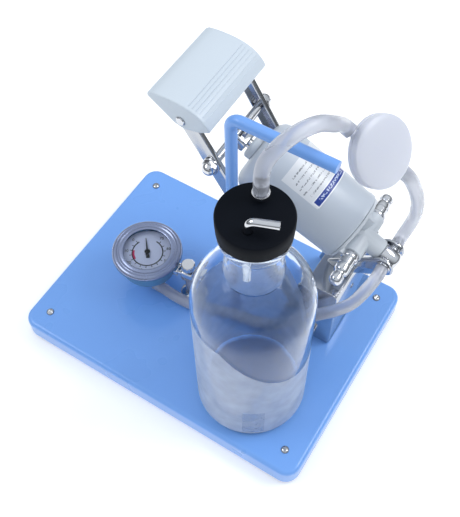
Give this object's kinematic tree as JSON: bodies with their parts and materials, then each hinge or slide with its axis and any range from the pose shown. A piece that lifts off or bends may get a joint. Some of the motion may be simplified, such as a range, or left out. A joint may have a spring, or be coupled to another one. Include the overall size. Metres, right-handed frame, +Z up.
{
  "type": "foot suction pump",
  "caption": "Foot-operated suction pump: blue tray base, glass collection bottle with stopper, pedal lever driving a tilting piston cylinder, vacuum gauge, inline filter and hoses.",
  "frame": {"origin": "the middle of the base plate, on the surface the feet stand on", "axes": "X along the base plate's long edge towards the bottle, Y towards the pump side, Z up"},
  "size_m": [0.3, 0.2203, 0.3551],
  "materials": {
    "blue_enamel": "smooth light blue enamel",
    "nickel_steel": "bright nickel-plated sheet steel",
    "chrome": "polished chrome",
    "white_plastic": "off-white satin plastic",
    "black_rubber": "matt black rubber",
    "black_enamel": "matt black paint",
    "clear_glass": "clear glass with a frosted lower band",
    "milky_silicone": "milky translucent silicone",
    "dial_white": "white printed dial",
    "gauge_enamel": "grey-blue enamel",
    "brass": "plain brass"
  },
  "bodies": {
    "base": {"base_plate": "blue_enamel", "rubber_foot_1": "black_rubber", "foot_screw_1": "nickel_steel", "rubber_foot_2": "black_rubber", "foot_screw_2": "nickel_steel", "rubber_foot_3": "black_rubber", "foot_screw_3": "nickel_steel", "rubber_foot_4": "black_rubber", "foot_screw_4": "nickel_steel", "carry_rod": "blue_enamel", "rod_collar": "blue_enamel", "rod_nut": "nickel_steel", "glass_bottle": "clear_glass", "rubber_stopper": "black_rubber", "suction_nozzle": "chrome", "patient_elbow": "clear_glass", "pump_bracket": "nickel_steel", "bracket_bolt_1": "nickel_steel", "bracket_bolt_2": "nickel_steel", "lever_shaft": "chrome", "gauge_case": "gauge_enamel", "gauge_bezel": "chrome", "gauge_lens": "clear_glass", "gauge_dial": "dial_white", "gauge_movement": "brass", "bourdon_tube": "brass", "gauge_stem": "chrome", "gauge_post": "chrome", "gauge_elbow": "chrome", "filter_back": "white_plastic", "filter_front": "white_plastic", "bottle_hose": "milky_silicone", "pump_hose": "milky_silicone", "gauge_hose": "milky_silicone"},
    "lever": {"front_arm": "nickel_steel", "back_arm": "nickel_steel", "pivot_spacer": "nickel_steel", "cross_pin": "chrome", "front_acorn_nut": "chrome", "back_acorn_nut": "chrome", "pedal_cover": "white_plastic", "pedal_pin": "chrome"},
    "cylinder": {"pump_barrel": "white_plastic", "rod_gland": "white_plastic", "valve_head": "white_plastic", "exhaust_fitting": "chrome", "relief_fitting": "chrome", "suction_tee": "chrome", "intake_flap": "black_rubber"},
    "piston": {"piston_disc": "white_plastic", "piston_cup": "black_rubber", "piston_rod": "chrome", "rod_clevis": "nickel_steel", "return_spring": "nickel_steel"},
    "needle": {"gauge_needle": "black_enamel"},
    "knob": {"vacuum_knob": "chrome"}
  },
  "joints": [
    {"name": "pedal_lever", "type": "hinge", "parent": "base", "child": "lever", "pos_m": [0.095, 0.0615, 0.039], "axis": [0, -1, 0], "range_deg": [0, 18], "stiffness_Nm_per_rad": 5, "springref_deg": -17.19},
    {"name": "cylinder_swing", "type": "hinge", "parent": "base", "child": "cylinder", "pos_m": [0.1383, 0.0615, 0.1439], "axis": [0, -1, 0], "range_deg": [0, 17.5]},
    {"name": "piston_slide", "type": "slide", "parent": "cylinder", "child": "piston", "axis": [-0.9127, 0, 0.4085], "range_m": [0, 0.036], "deforming": ["return_spring"]},
    {"name": "gauge_needle_turn", "type": "hinge", "parent": "base", "child": "needle", "pos_m": [-0.07, -0.0055, 0.0706], "axis": [0, 0, 1], "range_deg": [-270, 0]},
    {"name": "vacuum_knob_turn", "type": "hinge", "parent": "base", "child": "knob", "pos_m": [-0.02742, 0.00048, 0.07], "axis": [0, 0, 1], "range_deg": [0, 270]}
  ],
  "couplings": [
    {"joint": "cylinder_swing", "follows": "pedal_lever", "ratio": 0.94},
    {"joint": "piston_slide", "follows": "pedal_lever", "m_per_rad": 0.112}
  ]
}
